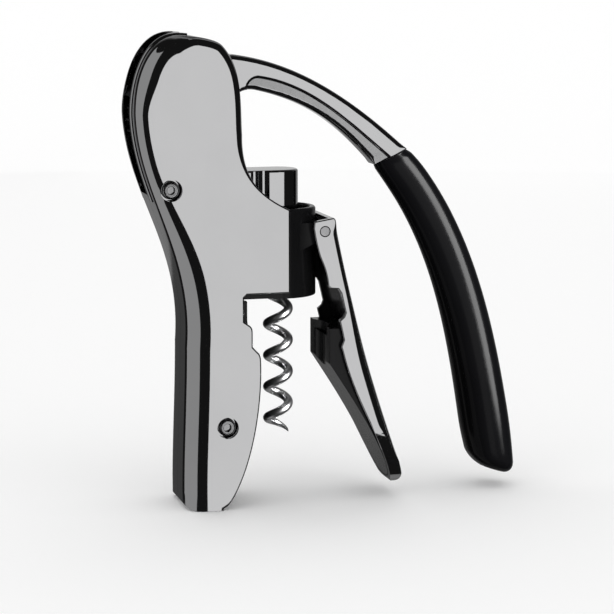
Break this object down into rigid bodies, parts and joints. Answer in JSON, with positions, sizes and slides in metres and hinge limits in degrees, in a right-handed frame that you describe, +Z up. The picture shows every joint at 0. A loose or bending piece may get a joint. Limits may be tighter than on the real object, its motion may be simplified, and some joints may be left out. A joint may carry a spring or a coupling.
{
  "type": "lever corkscrew",
  "caption": "Vertical lever corkscrew with polished side shells, a curved black-gripped lever, a rack and gear that drive the worm, and a hinged neck clamp.",
  "frame": {"origin": "On the worm's axis, at the seat where the bottle's rim meets the underside of the guide tube", "axes": "+Z up along the worm's axis, away from the bottle; +X forward, towards the clamp and the lever's grip; +Y across the tool, away from the side whose screw heads are driven"},
  "size_m": [0.1191, 0.0264, 0.1395],
  "materials": {
    "chrome": "polished",
    "gloss_black": "gloss",
    "black_plastic": "satin",
    "steel": "satin",
    "dark_steel": "black oxide",
    "white_plastic": "satin"
  },
  "bodies": {
    "body": {"housing_left": "chrome", "housing_right": "chrome", "guide_frame": "black_plastic", "neck_pad": "black_plastic", "upper_screw": "steel", "upper_sleeve_nut": "steel", "lower_screw": "steel", "lower_sleeve_nut": "steel", "lever_axle": "steel", "clamp_pin": "steel", "worm_nut": "black_plastic"},
    "lever": {"lever_arm": "chrome", "gear_sector": "dark_steel", "sector_rivet_1": "steel", "sector_rivet_2": "steel", "sector_rivet_3": "steel", "axle_bush_left": "white_plastic", "axle_bush_right": "white_plastic", "grip": "gloss_black"},
    "carriage": {"carriage_block": "chrome", "rack": "dark_steel", "rack_screw_1": "steel", "rack_screw_2": "steel", "thrust_washer": "white_plastic", "retaining_clip": "steel"},
    "worm_spindle": {"worm": "steel"},
    "clamp": {"clamp_lever": "chrome", "clamp_pad": "black_plastic"}
  },
  "joints": [
    {"name": "lever_swing", "type": "hinge", "parent": "body", "child": "lever", "pos_m": [-0.0302, 0, 0.0525], "axis": [0, -1, 0], "range_deg": [0, 180]},
    {"name": "carriage_slide", "type": "slide", "parent": "body", "child": "carriage", "axis": [0, 0, 1], "range_m": [0, 0.0425]},
    {"name": "worm_spin", "type": "hinge", "parent": "carriage", "child": "worm_spindle", "pos_m": [0, 0, 0.0135], "axis": [0, 0, 1], "range_deg": [0, 1610]},
    {"name": "clamp_swing", "type": "hinge", "parent": "body", "child": "clamp", "pos_m": [0.011, 0, 0.0197], "axis": [0, -1, 0], "range_deg": [0, 16]}
  ],
  "couplings": [
    {"joint": "carriage_slide", "follows": "lever_swing", "m_per_rad": 0.0135},
    {"joint": "worm_spin", "follows": "lever_swing", "ratio": 8.9287}
  ]
}
